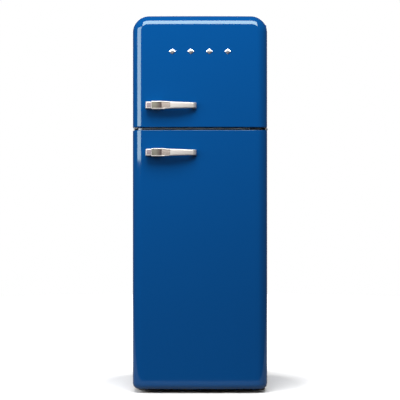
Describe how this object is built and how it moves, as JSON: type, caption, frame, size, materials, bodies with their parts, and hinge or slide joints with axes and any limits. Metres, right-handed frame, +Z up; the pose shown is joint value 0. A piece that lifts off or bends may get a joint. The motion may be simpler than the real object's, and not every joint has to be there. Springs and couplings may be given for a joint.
{
  "type": "top freezer refrigerator",
  "caption": "Tall two-door refrigerator with rounded top corners, crowned glossy doors, side-hung lever pulls and a freezer compartment above the refrigerator compartment.",
  "frame": {"origin": "on the floor under the middle of the appliance's bounding box", "axes": "+Z up, -Y the way the doors face, +X to the right of someone facing the doors"},
  "size_m": [0.602, 0.72, 1.68],
  "materials": {
    "door_enamel": "high gloss enamel",
    "bright_chrome": "polished, slightly warm",
    "dark_steel": "satin black paint",
    "zinc_steel": "zinc plated",
    "white_liner": "smooth moulded, satin gloss",
    "foam": "rigid cream foam",
    "gasket_grey": "matte vinyl",
    "black_rubber": "matte",
    "black_plastic": "fine textured",
    "white_plastic": "smooth",
    "clear_plastic": "clear",
    "shelf_glass": "tempered, polished edges",
    "black_enamel": "gloss black",
    "bright_aluminium": "roll-bond sheet",
    "copper": "drawn tube",
    "white_wire": "white coating"
  },
  "bodies": {
    "cabinet": {"cabinet_wrapper": "door_enamel", "middle_hinge_cap": "bright_chrome", "top_hinge_bracket": "dark_steel", "middle_hinge_bracket": "dark_steel", "bottom_hinge_bracket": "dark_steel", "cabinet_back_panel": "zinc_steel", "base_pan": "zinc_steel", "compressor_carrier": "zinc_steel", "hinge_screws": "zinc_steel", "fan_motor": "zinc_steel", "cabinet_front_frame": "white_liner", "freezer_liner": "white_liner", "fridge_liner": "white_liner", "cabinet_insulation": "foam", "compressor_grommets": "black_rubber", "starter_box": "black_plastic", "condenser_brackets": "black_plastic", "drip_tray": "black_plastic", "air_duct_cover": "white_plastic", "control_housing": "white_plastic", "lamp_lens": "clear_plastic", "crisper_cover_glass": "shelf_glass", "compressor": "black_enamel", "condenser_tube": "black_enamel", "condenser_wires": "black_enamel", "freezer_evaporator": "bright_aluminium", "fridge_evaporator": "bright_aluminium", "refrigerant_pipes": "copper", "freezer_shelf": "white_wire"},
    "freezer_door": {"freezer_door_skin": "door_enamel", "freezer_door_insulation": "foam", "freezer_door_liner": "white_liner", "freezer_door_gasket": "gasket_grey", "freezer_door_handle": "bright_chrome", "emblem_studs": "bright_chrome"},
    "fridge_door": {"fridge_door_skin": "door_enamel", "fridge_door_insulation": "foam", "fridge_door_liner": "white_liner", "fridge_door_gasket": "gasket_grey", "fridge_door_handle": "bright_chrome", "door_gap_trim": "bright_chrome"},
    "upper_shelf": {"upper_shelf_glass": "shelf_glass", "upper_shelf_trim": "white_plastic"},
    "lower_shelf": {"lower_shelf_glass": "shelf_glass", "lower_shelf_trim": "white_plastic"},
    "freezer_upper_bin": {"freezer_upper_bin": "clear_plastic"},
    "freezer_lower_bin": {"freezer_lower_bin": "clear_plastic"},
    "dairy_bin": {"dairy_bin": "clear_plastic"},
    "dairy_lid": {"dairy_lid": "clear_plastic"},
    "middle_bin": {"middle_bin": "clear_plastic"},
    "bottle_bin": {"bottle_bin": "clear_plastic"},
    "fan_impeller": {"fan_impeller": "white_plastic"},
    "thermostat_knob": {"thermostat_knob": "white_plastic"},
    "door_switch_button": {"door_switch_button": "white_plastic"},
    "ice_tray": {"ice_tray": "white_plastic"},
    "crisper_drawer": {"crisper_drawer": "clear_plastic"},
    "front_foot_left": {"front_foot_left": "black_plastic"},
    "front_foot_right": {"front_foot_right": "black_plastic"},
    "rear_roller_left": {"rear_roller_left": "black_plastic"},
    "rear_roller_right": {"rear_roller_right": "black_plastic"}
  },
  "joints": [
    {"name": "freezer_door_hinge", "type": "hinge", "parent": "cabinet", "child": "freezer_door", "pos_m": [0.278, -0.252, 1.4], "axis": [0, 0, 1], "range_deg": [0, 110]},
    {"name": "fridge_door_hinge", "type": "hinge", "parent": "cabinet", "child": "fridge_door", "pos_m": [0.278, -0.252, 0.6], "axis": [0, 0, 1], "range_deg": [0, 110]},
    {"name": "freezer_upper_bin_lift", "type": "slide", "parent": "freezer_door", "child": "freezer_upper_bin", "axis": [0, 0, 1], "range_m": [0, 0.025]},
    {"name": "freezer_lower_bin_lift", "type": "slide", "parent": "freezer_door", "child": "freezer_lower_bin", "axis": [0, 0, 1], "range_m": [0, 0.025]},
    {"name": "dairy_bin_lift", "type": "slide", "parent": "fridge_door", "child": "dairy_bin", "axis": [0, 0, 1], "range_m": [0, 0.025]},
    {"name": "dairy_lid_hinge", "type": "hinge", "parent": "dairy_bin", "child": "dairy_lid", "pos_m": [0, -0.204, 0.9915], "axis": [1, 0, 0], "range_deg": [0, 80]},
    {"name": "middle_bin_lift", "type": "slide", "parent": "fridge_door", "child": "middle_bin", "axis": [0, 0, 1], "range_m": [0, 0.025]},
    {"name": "bottle_bin_lift", "type": "slide", "parent": "fridge_door", "child": "bottle_bin", "axis": [0, 0, 1], "range_m": [0, 0.025]},
    {"name": "upper_shelf_slide", "type": "slide", "parent": "cabinet", "child": "upper_shelf", "axis": [0, -1, 0], "range_m": [0, 0.012]},
    {"name": "lower_shelf_slide", "type": "slide", "parent": "cabinet", "child": "lower_shelf", "axis": [0, -1, 0], "range_m": [0, 0.012]},
    {"name": "crisper_slide", "type": "slide", "parent": "cabinet", "child": "crisper_drawer", "axis": [0, -1, 0], "range_m": [0, 0.18]},
    {"name": "ice_tray_lift", "type": "slide", "parent": "cabinet", "child": "ice_tray", "axis": [0, 0, 1], "range_m": [0, 0.03]},
    {"name": "door_switch_slide", "type": "slide", "parent": "cabinet", "child": "door_switch_button", "axis": [0, -1, 0], "range_m": [0, 0.005]},
    {"name": "thermostat_knob_turn", "type": "hinge", "parent": "cabinet", "child": "thermostat_knob", "pos_m": [0.062, -0.09, 1.096], "axis": [0, 0, 1], "range_deg": [0, 270]},
    {"name": "fan_spin", "type": "hinge", "parent": "cabinet", "child": "fan_impeller", "pos_m": [0, 0.2325, 0.845], "axis": [0, 1, 0], "continuous": true},
    {"name": "front_foot_left_turn", "type": "hinge", "parent": "cabinet", "child": "front_foot_left", "pos_m": [-0.26, -0.16, 0.02], "axis": [0, 0, 1], "continuous": true},
    {"name": "front_foot_right_turn", "type": "hinge", "parent": "cabinet", "child": "front_foot_right", "pos_m": [0.26, -0.16, 0.02], "axis": [0, 0, 1], "continuous": true},
    {"name": "rear_roller_left_spin", "type": "hinge", "parent": "cabinet", "child": "rear_roller_left", "pos_m": [-0.265, 0.3, 0.014], "axis": [1, 0, 0], "continuous": true},
    {"name": "rear_roller_right_spin", "type": "hinge", "parent": "cabinet", "child": "rear_roller_right", "pos_m": [0.265, 0.3, 0.014], "axis": [1, 0, 0], "continuous": true}
  ],
  "couplings": [
    {"joint": "crisper_slide", "follows": "fridge_door_hinge", "m_per_rad": 0.0937},
    {"joint": "door_switch_slide", "follows": "fridge_door_hinge", "m_per_rad": 0.0026}
  ]
}
